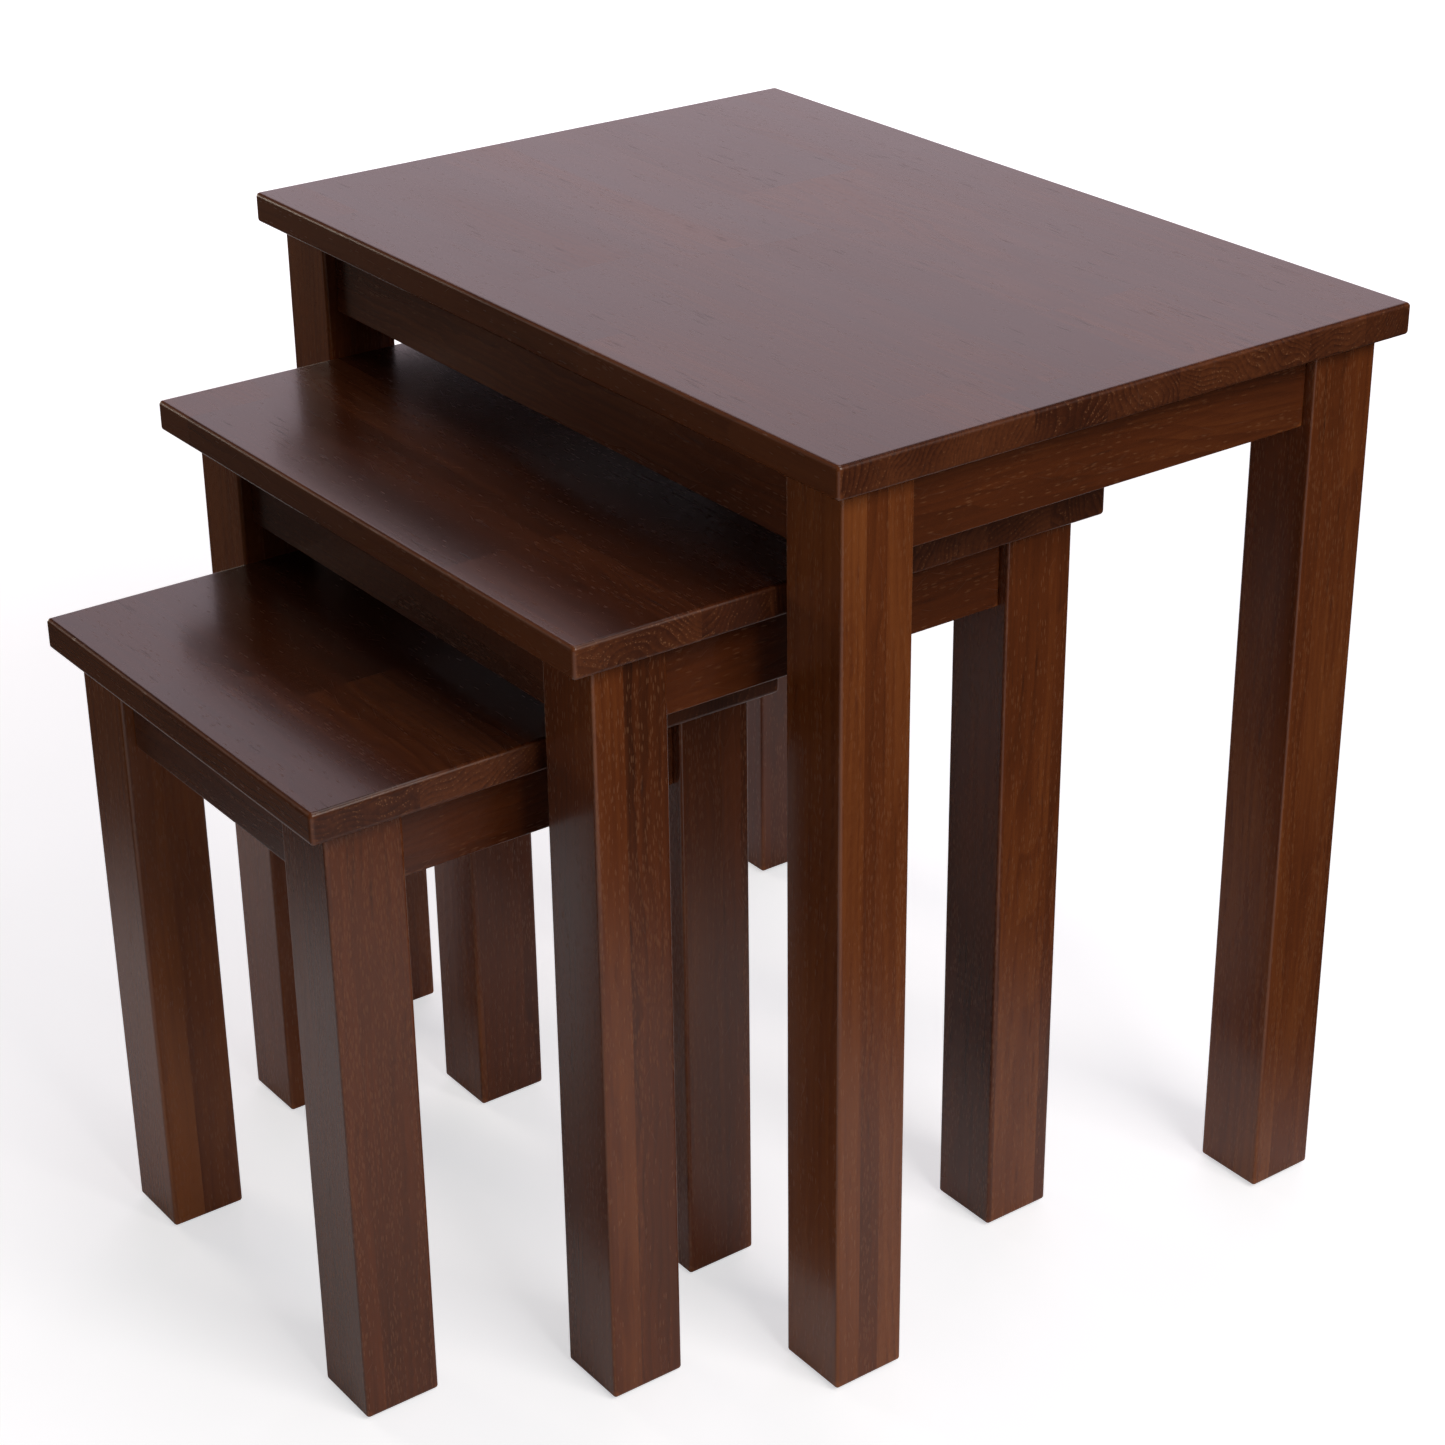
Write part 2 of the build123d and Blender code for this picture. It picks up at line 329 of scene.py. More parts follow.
def make_figure_group():
    """The inside of a piece of wood at any point of it."""
    tree, given, out = new_tree(
        "wood figure", "ShaderNodeTree",
        {"Place": VECTOR, "Ring Width": 0.004, "Wander": 0.012, "Pore Share": 0.35, "End Face": 0.0},
        {"Rings": FLOAT, "Fibre": FLOAT, "Pores": FLOAT, "Clouds": FLOAT, "Flecks": FLOAT},
    )
    # fibres never run quite straight: they sway a little around whatever they grew past
    sway = stretched_noise(given["Place"], SWAY_STRETCH, 2.0)
    sway = times(minus(sway, 0.5), SWAY)
    place = plus(given["Place"], combine(0.0, sway, sway))
    bend = stretched_noise(place, RING_STRETCH, 3.0, 0.55)
    bend = times(minus(bend, 0.5), given["Wander"])
    bend = times(bend, BENDING)
    # the pith runs along the grain, some way under the face, so that arcs show on the ends
    across = times(place, (PITH_SLOPE, 1.0, 1.0))
    pith = minus(across, PITH_PLACE)
    radius = plus(maths("LENGTH", pith), bend)
    ring = over(radius, given["Ring Width"])
    phase = maths("FRACT", ring)
    late = maths("POWER", phase, LATE_WOOD)
    sharp = remap(phase, 0.93, 1.0, 1.0, 0.0)
    late = times(late, sharp)
    year = stretched_noise(place, YEAR_STRETCH, 2.0)
    year = remap(year, 0.3, 0.7, 0.25, 1.0)
    feed(times(late, year), out["Rings"])
    streak = stretched_noise(place, FIBRE_STRETCH, 4.0, 0.6)
    feed(streak, out["Fibre"])
    clouds = stretched_noise(place, CLOUD_STRETCH, 3.0)
    feed(clouds, out["Clouds"])
    cells = random_cells(times(place, PORE_STRETCH))
    dash = remap(cells["Distance"], 0.15, 0.5, 1.0, 0.0, smooth=True)
    luck = separate(cells["Color"])[0]
    patch = stretched_noise(place, PATCH_STRETCH, 2.0)
    share = times(given["Pore Share"], remap(patch, 0.38, 0.62, 0.1, 1.9))
    # across the end, pores crowd into the first wood of each year and leave the rest bare
    in_early = remap(given["End Face"], 0.0, 1.0, 1.4, 3.5)
    in_late = remap(given["End Face"], 0.0, 1.0, 0.6, -0.3)
    early = remap(phase, 0.2, 0.55, in_early, in_late)
    share = times(share, early)
    there = maths("LESS_THAN", luck, share)
    feed(times(dash, there), out["Pores"])
    # dark strokes where a thick late ring just breaks the surface
    cells = random_cells(times(place, FLECK_STRETCH))
    stroke = remap(cells["Distance"], 0.1, 0.5, 1.0, 0.0, smooth=True)
    crowd = remap(patch, 0.50, 0.68, 0.0, FLECK_SHARE)
    rare = maths("LESS_THAN", separate(cells["Color"])[2], crowd)
    feed(times(stroke, rare), out["Flecks"])
    return tree


figure_group = make_figure_group()
print("wood figure:", len(figure_group.nodes), "nodes")

# %% [markdown]
# ### Wear, and a painted edge highlight
# Two kinds of wear show on furniture like this. Sanding thins the stain wherever an edge was
# eased, so an arris is paler in patches; that paler edge is also a painted highlight, standing in
# for the thin line of light that an eased arris catches. Moving the tables in and out leaves hair
# scratches, and dust settled while the lacquer was wet. Painting them on by hand is slow and
# differs on each run. A mask from the edge itself, and stretched random cells, give the same marks
# every time.

# %% Rubbed arrises with a painted highlight, and handling marks
PATCHES_PER_METRE = 38.0
# each kind of scratch: its turn from the grain, and its strokes in a metre along and across
SCRATCH_KINDS = ((0.05, 34.0, 1150.0), (0.35, 48.0, 1300.0), (-0.6, 60.0, 1500.0))
SCRATCH_SHARE = 0.012
DUST_PER_METRE = 260.0
DUST_SHARE = 0.02


def make_arris_group():
    """Where sanding and handling have thinned the stain on an eased edge, which also serves as a painted
    highlight along the arris.
    """
    inputs = {"Arris": 0.0, "Grain": VECTOR, "Amount": 0.5}
    tree, given, out = new_tree("rubbed arris", "ShaderNodeTree", inputs, {"Rubbed And Highlight": FLOAT})
    patchy = noise(given["Grain"], PATCHES_PER_METRE, 4.0, 0.65)
    level = plus(given["Arris"], times(patchy, 0.7))
    rubbed_and_highlight = remap(level, 0.95, 1.55, 0.0, 1.0, smooth=True)
    feed(times(rubbed_and_highlight, given["Amount"]), out["Rubbed And Highlight"])
    return tree


def make_marks_group():
    """Short hair scratches in a few directions, and specks of dust in the lacquer."""
    tree, given, out = new_tree(
        "handling marks", "ShaderNodeTree",
        {"Grain": VECTOR, "End Face": 0.0, "Flank": 0.0, "Piece": 0.0, "Amount": 0.5},
        {"Scratches": FLOAT, "Dust": FLOAT},
    )
    # the two grain directions that lie in the face at hand, so no stroke is drawn out into a line
    x, y, z = separate(given["Grain"])
    on_end = maths("GREATER_THAN", given["End Face"], 0.5)
    on_flank = maths("GREATER_THAN", given["Flank"], 0.7)
    x = plus(x, times(on_end, minus(z, x)))
    y = plus(y, times(on_flank, minus(z, y)))
    on_face = combine(x, y, 0.0)
    strokes = []
    for turn, length, width in SCRATCH_KINDS:
        turned = node(tree, "ShaderNodeVectorRotate", rotation_type="Z_AXIS")
        feed_all(turned, {"Vector": on_face, "Angle": turn})
        place = times(turned.outputs[0], (length, width, 0.0))
        shifted = plus(place, combine(given["Piece"], turn, 0.0))
        cells = random_cells(shifted, voronoi_dimensions="2D")
        rare = maths("LESS_THAN", separate(cells["Color"])[0], SCRATCH_SHARE)
        hair = remap(cells["Distance"], 0.15, 0.4, 1.0, 0.0)
        strokes.append(times(hair, rare))
    strongest = most(most(*strokes[:2]), strokes[2])
    feed(times(strongest, given["Amount"]), out["Scratches"])
    specks = random_cells(given["Grain"], DUST_PER_METRE)
    rare = maths("LESS_THAN", separate(specks["Color"])[1], DUST_SHARE)
    dot = remap(specks["Distance"], 0.08, 0.16, 1.0, 0.0)
    feed(times(times(dot, rare), given["Amount"]), out["Dust"])
    return tree


arris_group = make_arris_group()
marks_group = make_marks_group()
print("rubbed arris:", len(arris_group.nodes), "nodes; handling marks:", len(marks_group.nodes))

# %% [markdown]
# ## The stained and lacquered walnut
# One recipe serves tops, legs and rails, and each gets its own numbers: tops are glued up from
# short wide staves, legs from narrow full-length strips, and a rail is one board. Stain goes
# on after the glue-up, so neighbouring staves differ in tint but share the same colour.
# The lacquer is the shader's own reflection. Pores and fibres lie under it, so they
# reach the surface only as a slight unevenness.

# %% Walnut finish
def attribute(tree, name, output):
    return node(tree, "ShaderNodeAttribute", attribute_name=name).outputs[output]


def use_group(tree, group, **values):
    made = node(tree, "ShaderNodeGroup", node_tree=group)
    feed_all(made, values)
    return made.outputs


def mix_colour(share, first, second):
    made = node(tree_of(share), "ShaderNodeMix", data_type="RGBA")
    colours = [socket for socket in made.inputs if socket.type == "RGBA"]
    feed(share, made.inputs[0])
    for value, socket in zip((first, second), colours):
        feed(value, socket)
    return made.outputs[2]


def ramp(value, stops):
    made = node(tree_of(value), "ShaderNodeValToRGB")
    feed(value, made.inputs[0])
    while len(made.color_ramp.elements) < len(stops):
        made.color_ramp.elements.new(0.5)
    for element, (place, colour) in zip(made.color_ramp.elements, stops):
        element.position = place
        element.color = (*colour, 1.0)
    return made.outputs[0]


def plain_material(name):
    """A new material with its tree and shader."""
    made = bpy.data.materials.new(name)
    made.use_nodes = True
    tree = made.node_tree
    shader = next(n for n in tree.nodes if n.type == "BSDF_PRINCIPLED")
    return made, tree, shader


def relief(height, strength, distance):
    """The normal of a surface with this fine height map on it."""
    bump = node(tree_of(height), "ShaderNodeBump")
    feed_all(bump, {"Strength": strength, "Distance": distance, "Height": height})
    return bump.outputs[0]


# how far each thing moves the stain's tone, where 0 is the darkest and 1 the palest
RING_DROP, END_RING_DROP = 0.22, 0.1
FIBRE_SPREAD = 0.5
CLOUD_SPREAD = 0.9
# the paler arris is rubbed stain and also a painted highlight along the edge
RUBBED_AND_HIGHLIGHT_LIFT = 0.45
SEAM_DROP = 0.06
FLECK_DROP = 0.16
# what lies on top of the tone: pores on end grain, and scratches and dust
END_PORE_SHOW = 0.6
MARK_COLOUR, MARK_SHOW = (0.32, 0.2, 0.14, 1.0), 0.5


def walnut(
    name, stops, stave_width, stave_length, unevenness, ring_width, wander, pore_share,
    tint_spread, rubbed_and_highlight_amount, marks_amount, roughness, pore_show, painted_flank_light=0.0, painted_end_light=0.0,
):
    """Stained and lacquered walnut. stops are the colours from the darkest tone to the palest: the
    stain's own, and for the tops the stain darkened as painted shade.
    """
    made, tree, shader = plain_material(name)
    grain = attribute(tree, "grain", "Vector")
    piece = attribute(tree, "piece", "Fac")
    end = attribute(tree, "end_grain", "Fac")
    flank = attribute(tree, "flank", "Fac")
    staves = use_group(
        tree, stave_group, Grain=grain, Piece=piece, Stave_Width=stave_width,
        Stave_Length=stave_length, Unevenness=unevenness,
    )
    end_face = remap(end, 0.6, 0.9, smooth=True)
    # some staves are open-grained and some are close: each has its own share of pores
    openness = remap(staves["Openness"], 0.0, 1.0, 0.25, 1.6)
    figure = use_group(
        tree, figure_group, Place=staves["Place"], Ring_Width=ring_width, Wander=wander,
        Pore_Share=times(openness, pore_share), End_Face=end_face,
    )
    rubbed_and_highlight = use_group(
        tree, arris_group, Arris=attribute(tree, "arris", "Fac"), Grain=grain,
        Amount=rubbed_and_highlight_amount,
    )["Rubbed And Highlight"]
    marks = use_group(
        tree, marks_group, Grain=grain, End_Face=end_face, Flank=flank, Piece=piece,
        Amount=marks_amount,
    )

    ring_depth = plus(RING_DROP, times(end_face, END_RING_DROP))
    tone = minus(0.5, times(figure["Rings"], ring_depth))
    streaks = times(minus(figure["Fibre"], 0.5), FIBRE_SPREAD)
    clouds = times(minus(figure["Clouds"], 0.5), CLOUD_SPREAD)
    tint = times(minus(staves["Tint"], 0.5), tint_spread)
    for change in (streaks, clouds, tint):
        tone = plus(tone, change)
    # paler eased arrises: rubbed stain, and partly a painted highlight
    tone = plus(tone, times(rubbed_and_highlight, RUBBED_AND_HIGHLIGHT_LIFT))
    tone = minus(tone, times(staves["Seam"], SEAM_DROP))
    # painted light: a top's front and back faces are painted lighter than its upper face, and its ends a
    # little lighter
    tone = plus(tone, times(flank, painted_flank_light))
    tone = plus(tone, times(end_face, painted_end_light))
    # tone shift for each piece: uneven stain, and on some legs painted light and painted shade
    tone = plus(tone, attribute(tree, "paleness_and_painted_light", "Fac"))
    tone = minus(tone, times(figure["Flecks"], FLECK_DROP))
    colour = ramp(tone, stops)
    show = remap(end_face, 0.0, 1.0, pore_show, END_PORE_SHOW)
    colour = mix_colour(times(figure["Pores"], show), colour, PORE_FILL)
    light_marks = most(marks["Scratches"], marks["Dust"])
    colour = mix_colour(times(light_marks, MARK_SHOW), colour, MARK_COLOUR)

    rough = remap(figure["Clouds"], 0.3, 0.7, roughness - 0.03, roughness + 0.04)
    masks = (figure["Pores"], end_face, figure["Flecks"], marks["Scratches"])
    for mask, rougher in zip(masks, (0.12, 0.12, 0.10, 0.25)):
        rough = plus(rough, times(mask, rougher))
    height = times(figure["Fibre"], 0.25)
    for mask, deeper in (("Pores", 0.5), ("Rings", 0.2), ("Flecks", 0.15)):
        height = minus(height, times(figure[mask], deeper))
    look = {"Base Color": colour, "Roughness": rough, "Normal": relief(height, 0.25, 0.0002)}
    feed_all(shader, look | {"IOR": 1.5, "Coat Weight": 0.2, "Coat Roughness": 0.12})
    return made


UNBROKEN = 50.0     # a stave length far beyond any piece
PORE_FILL = (0.32, 0.14, 0.060, 1.0)
# the tops' tones are the stain darkened well below the legs': painted shade for the dim light that
# reaches a top from above. The rails' tones are about three quarters of the legs'.
SHADED_TOP_TONES = [(0.0, (0.013, 0.0034, 0.0015)), (0.5, (0.060, 0.0138, 0.0042)), (1.0, (0.17, 0.047, 0.013))]
LEG_TONES = [(0.0, (0.038, 0.009, 0.0025)), (0.5, (0.150, 0.035, 0.0075)), (1.0, (0.32, 0.096, 0.022))]
RAIL_TONES = [(0.0, (0.028, 0.0065, 0.002)), (0.5, (0.110, 0.0255, 0.006)), (1.0, (0.26, 0.075, 0.018))]
top_walnut = walnut(
    "walnut top, satin lacquer", SHADED_TOP_TONES, stave_width=0.064, stave_length=0.27,
    unevenness=0.25, ring_width=0.003, wander=0.014, pore_share=0.12, tint_spread=0.20,
    rubbed_and_highlight_amount=0.5, marks_amount=0.12, roughness=0.25, pore_show=0.12,
    # painted light on the top's sides
    painted_flank_light=0.54, painted_end_light=0.15,
)
leg_walnut = walnut(
    "walnut leg, satin lacquer", LEG_TONES, stave_width=0.021, stave_length=UNBROKEN,
    unevenness=0.3, ring_width=0.004, wander=0.010, pore_share=0.55, tint_spread=0.38,
    rubbed_and_highlight_amount=0.5, marks_amount=0.15, roughness=0.25, pore_show=0.31,
)
rail_walnut = walnut(
    "walnut rail, satin lacquer", RAIL_TONES, stave_width=0.3, stave_length=UNBROKEN,
    unevenness=0.0, ring_width=0.004, wander=0.016, pore_share=0.30, tint_spread=0.30,
    rubbed_and_highlight_amount=0.7, marks_amount=0.15, roughness=0.27, pore_show=0.30,
)
print("walnut materials:", [m.name for m in (top_walnut, leg_walnut, rail_walnut)])

# %% [markdown]
# ## Planed boards
# Tops, legs and rails are all the same thing to a joiner: square stock, planed, with its arrises
# eased. A bevel modifier on a cube would round the edges, but a rule does more: one geometry tree
# takes the two corners of a board's box, lays a lattice over it that is fine at the edges and
# coarse between, pulls the edge rows onto a round, and lets the flats wander by a tenth of a
# millimetre as sanded faces do. The same tree writes the grain coordinates, how near each
# point is to an arris, and which faces are end grain, because it knows them exactly.

# %% Board tree
ROUND_STEPS = 3         # lattice rows in half of a rounded edge
HOLD = 0.0004           # a narrow row that keeps the flat flat
SHOULDER = 0.003        # the worn strip beside an arris
HUMPS_PER_METRE = 11.0  # of the sanded faces
HUMPS_SHIFT = 3.7       # metres from one piece's humps to the next one's


def stored(geometry, name, kind, value):
    made = node(tree_of(geometry), "GeometryNodeStoreNamedAttribute", data_type=kind)
    feed_all(made, {"Geometry": geometry, "Name": name, "Value": value})
    return made.outputs[0]


def make_board_tree():
    tree, given, out = new_tree(
        "planed board", "GeometryNodeTree",
        {
            "Geometry": GEOMETRY, "Low Corner": VECTOR, "High Corner": VECTOR,
            "Edge Radius": 0.002, "Lattice": 0.012, "Unflatness": 0.0001, "Grain Turn": VECTOR,
            "Piece Number": 0.0, "Paleness And Painted Light": 0.0, "Finish": MATERIAL,
        },
        {"Geometry": GEOMETRY},
    )
    radius = given["Edge Radius"]
    size = minus(given["High Corner"], given["Low Corner"])
    half = times(size, 0.5)
    centre = plus(given["Low Corner"], half)
    edge = plus(radius, HOLD + SHOULDER)
    flat = minus(half, edge)
    middle_rows = maths("CEIL", over(flat, given["Lattice"]))
    middle_rows = most(middle_rows, 1.0)
    edge_rows = ROUND_STEPS + 2
    rows = times(plus(middle_rows, edge_rows), 2.0)
    cube = node(tree, "GeometryNodeMeshCube")
    cube.inputs["Size"].default_value = (1.0, 1.0, 1.0)
    for label, count in zip("XYZ", separate(rows)):
        feed(plus(count, 1.0), cube.inputs[f"Vertices {label}"])

    # rows counted inwards from the nearer side, on each axis at once
    place = node(tree, "GeometryNodeInputPosition").outputs[0]
    inwards = minus(0.5, maths("ABSOLUTE", place))
    inwards = times(inwards, rows)

    def rows_past(count):
        return most(minus(inwards, count), 0.0)

    left = times(minus(ROUND_STEPS, inwards), 1 / ROUND_STEPS)
    left = most(left, 0.0)
    swing = maths("TANGENT", times(left, math.pi / 4))
    depth = times(minus(1.0, swing), radius)
    hold = least(rows_past(ROUND_STEPS), 1.0)
    depth = plus(depth, times(hold, HOLD))
    strip = least(rows_past(ROUND_STEPS + 1), 1.0)
    depth = plus(depth, times(strip, SHOULDER))
    step = over(flat, middle_rows)
    depth = plus(depth, times(rows_past(edge_rows), step))
    boxed = times(maths("SIGN", place), minus(half, depth))

    # the round: every point stands one radius off a smaller, sharp core
    core_half = minus(half, radius)
    core = least(boxed, core_half)
    core = most(core, times(core_half, -1.0))
    outwards = maths("NORMALIZE", minus(boxed, core))
    shaped = plus(core, times(outwards, radius))
    luck = combine(times(given["Piece Number"], HUMPS_SHIFT), 0.0, 0.0)
    sanding = noise(plus(shaped, luck), HUMPS_PER_METRE, 2.0)
    sanding = times(minus(sanding, 0.5), given["Unflatness"])
    sanded = plus(shaped, times(outwards, times(sanding, 2.0)))

    def to_grain(value):
        turned = node(tree, "ShaderNodeVectorRotate", rotation_type="EULER_XYZ")
        feed_all(turned, {"Vector": value, "Rotation": given["Grain Turn"]})
        return turned.outputs[0]

    facing = separate(maths("ABSOLUTE", to_grain(outwards)))
    end, flank = facing[0], facing[1]
    closeness = times(over(depth, edge), -1.0)
    closeness = most(plus(closeness, 1.0), 0.0)
    arris = minus(maths("DOT_PRODUCT", closeness, 1.0), 1.0)

    mesh = stored(cube.outputs["Mesh"], "grain", "FLOAT_VECTOR", to_grain(shaped))
    masks = {"end_grain": end, "flank": flank, "arris": arris}
    masks |= {"piece": given["Piece Number"], "paleness_and_painted_light": given["Paleness And Painted Light"]}
    for label, mask in masks.items():
        mesh = stored(mesh, label, "FLOAT", mask)
    placed = plus(sanded, centre)
    mesh = through("GeometryNodeSetPosition", mesh, Position=placed)
    mesh = through("GeometryNodeSetShadeSmooth", mesh)
    mesh = through("GeometryNodeRealizeInstances", mesh)
    mesh = through("GeometryNodeSetMaterial", mesh, Material=given["Finish"])
    feed(mesh, out["Geometry"])
    return tree


board_tree = make_board_tree()
print("planed board:", len(board_tree.nodes), "nodes")

# %% [markdown]
# ### From a tree to a finished piece
# A tree is a recipe and the piece is what comes out of it. The inputs are set by their socket
# identifiers before the first run, the result is kept as a plain mesh, and the recipe is taken
# off again. Applying the modifier with an operator would depend on what is selected.

# %% Run a tree and keep the plain mesh
def made_by(tree, name, settings, start=None):
    """An object at the origin whose mesh is the tree's result, with no modifier left on it."""
    thing = bpy.data.objects.new(name, start or bpy.data.meshes.new(name))
    bpy.context.scene.collection.objects.link(thing)
    maker = thing.modifiers.new("maker", "NODES")
    maker.node_group = tree
    identifiers = {
        item.name: item.identifier
        for item in tree.interface.items_tree
        if item.in_out == "INPUT"
    }
    for label, value in settings.items():
        maker[identifiers[label]] = value
    depsgraph = bpy.context.evaluated_depsgraph_get()
    finished = bpy.data.meshes.new_from_object(
        thing.evaluated_get(depsgraph), preserve_all_data_layers=True, depsgraph=depsgraph
    )
    thing.modifiers.remove(maker)
    thing.data = finished
    return thing


def hand_over(thing, body, slot, *nodes):
    """The piece rides on its body and stands for the CAD nodes."""
    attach(thing, body)
    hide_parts(*nodes)


print("trees ready to run:", board_tree.name)

# %% [markdown]
# ### Twenty-seven boards
# Every table has one top, four rails and four legs. The top's grain runs the long way and each
# leg's runs upwards, since wood is strong along the grain. Tops get the roundest edges because
# hands meet them, rails the least. Each board has its own number, so no two share a figure. Some
# are a little paler than their neighbours and one is darker: partly stain taken up unevenly, and
# partly painted light and painted shade on single legs. The boxes are read from the CAD parts, so
# the sizes are written down only once.

# %% Shape the boards
ALONG_X = (0.0, 0.0, 0.0)
ALONG_Y = (0.0, 0.0, -math.pi / 2)
ALONG_Z = (0.0, math.pi / 2, 0.0)
BOARDS = [
    ("top", ALONG_X, 0.0024, 0.00012, top_walnut, "walnut_top"),
    ("rail_front", ALONG_X, 0.0012, 0.0001, rail_walnut, "walnut_rail"),
    ("rail_back", ALONG_X, 0.0012, 0.0001, rail_walnut, "walnut_rail"),
    ("rail_left", ALONG_Y, 0.0012, 0.0001, rail_walnut, "walnut_rail"),
    ("rail_right", ALONG_Y, 0.0012, 0.0001, rail_walnut, "walnut_rail"),
]
BOARDS += [(f"leg_{corner}", ALONG_Z, 0.002, 0.00012, leg_walnut, "walnut_leg") for corner in CORNERS]
# how much paler a piece is than its neighbours, darker where below zero: partly stain taken up
# unevenly, and partly painted light and shade. The small table's front left leg is painted paler
# for the light on its front face, and the middle table's back right leg darker for the shade it stands in
PALENESS_AND_PAINTED_LIGHT = {
    "large_top": 0.05,
    "large_leg_front_right": 0.10,
    "large_leg_back_right": 0.08,
    "large_leg_front_left": 0.12,
    "middle_leg_front_left": 0.10,
    "middle_leg_back_right": -0.10,
    "small_leg_front_left": 0.32,
}
piece_number = 0
for table in TABLES:
    for piece, turn, radius, unflat, finish, slot in BOARDS:
        piece_number += 1
        cad_node = f"{table}_{piece}"
        low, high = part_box(cad_node)
        board = made_by(
            board_tree,
            f"{cad_node}_dressed",
            {
                "Low Corner": low,
                "High Corner": high,
                "Edge Radius": radius,
                "Unflatness": unflat,
                "Grain Turn": turn,
                "Piece Number": float(piece_number),
                "Paleness And Painted Light": PALENESS_AND_PAINTED_LIGHT.get(cad_node, 0.0),
                "Finish": finish,
            },
        )
        hand_over(board, f"{table}_table", slot, cad_node)
    print(table, "boards shaped, last has", len(board.data.polygons), "faces")

# %% [markdown]
# ## Screws
# Each corner block takes two screws into the rails and one up into the top. A screw is turned
# work, so its tree is a lathe: a flat net is wrapped round an axis, and every row of the net
# is given its radius and height by rule. The head is a dome, the shank a helical thread that
# tapers to a point. The cross is then cut out with two bars. One screw is made and
# stands on every seat, aligned with the way it was driven.

# %% Lathe for screws
HEAD_ROWS = 7
ROWS_IN_THREAD = 5
SHARP_EDGE = math.radians(35)
CLOSING_DISTANCE = 0.000002     # joins the net's two sides where they meet


def lathe_net(tree, around, rows, lines):
    """A net wrapped round an axis. Returns it with each point's angle and row number.

    lines is how many lines bound the rows, which is one more than there are rows.
    """
    net = node(tree, "GeometryNodeMeshGrid")
    counts = {"Vertices X": around + 1, "Vertices Y": lines}
    feed_all(net, {"Size X": 1.0, "Size Y": 1.0} | counts)
    across, along, _ = separate(node(tree, "GeometryNodeInputPosition").outputs[0])
    turn = plus(across, 0.5)
    row = maths("ROUND", times(plus(along, 0.5), rows))
    return net.outputs["Mesh"], turn, row


def set_on_lathe(net, turn, radius, height):
    angle = times(turn, 2 * math.pi)
    x = times(radius, maths("COSINE", angle))
    y = times(radius, maths("SINE", angle))
    moved = through("GeometryNodeSetPosition", net, Position=combine(x, y, height))
    return through("GeometryNodeMergeByDistance", moved, Distance=CLOSING_DISTANCE)


def shade_by_angle(geometry):
    """Smooth all over, but with every sharp edge left crisp."""
    tree = tree_of(geometry)
    smooth = through("GeometryNodeSetShadeSmooth", geometry)
    edges = node(tree, "GeometryNodeSetShadeSmooth", domain="EDGE")
    angle = node(tree, "GeometryNodeInputMeshEdgeAngle").outputs[0]
    sharp = maths("GREATER_THAN", angle, SHARP_EDGE)
    feed_all(edges, {"Geometry": smooth, "Selection": sharp, "Shade Smooth": False})
    return edges.outputs[0]


def stand_on_seats(tree, seats, piece, finish, out):
    """One of the piece on every seat point, along that point's drive direction."""
    aim = node(tree, "FunctionNodeAlignRotationToVector", axis="Z")
    drive = node(tree, "GeometryNodeInputNamedAttribute", data_type="FLOAT_VECTOR")
    drive.inputs["Name"].default_value = "drive"
    feed(drive.outputs["Attribute"], aim.inputs["Vector"])
    placed = node(tree, "GeometryNodeInstanceOnPoints")
    feed_all(placed, {"Points": seats, "Instance": piece, "Rotation": aim.outputs[0]})
    whole = through("GeometryNodeRealizeInstances", placed.outputs[0])
    feed(through("GeometryNodeSetMaterial", whole, Material=finish), out)


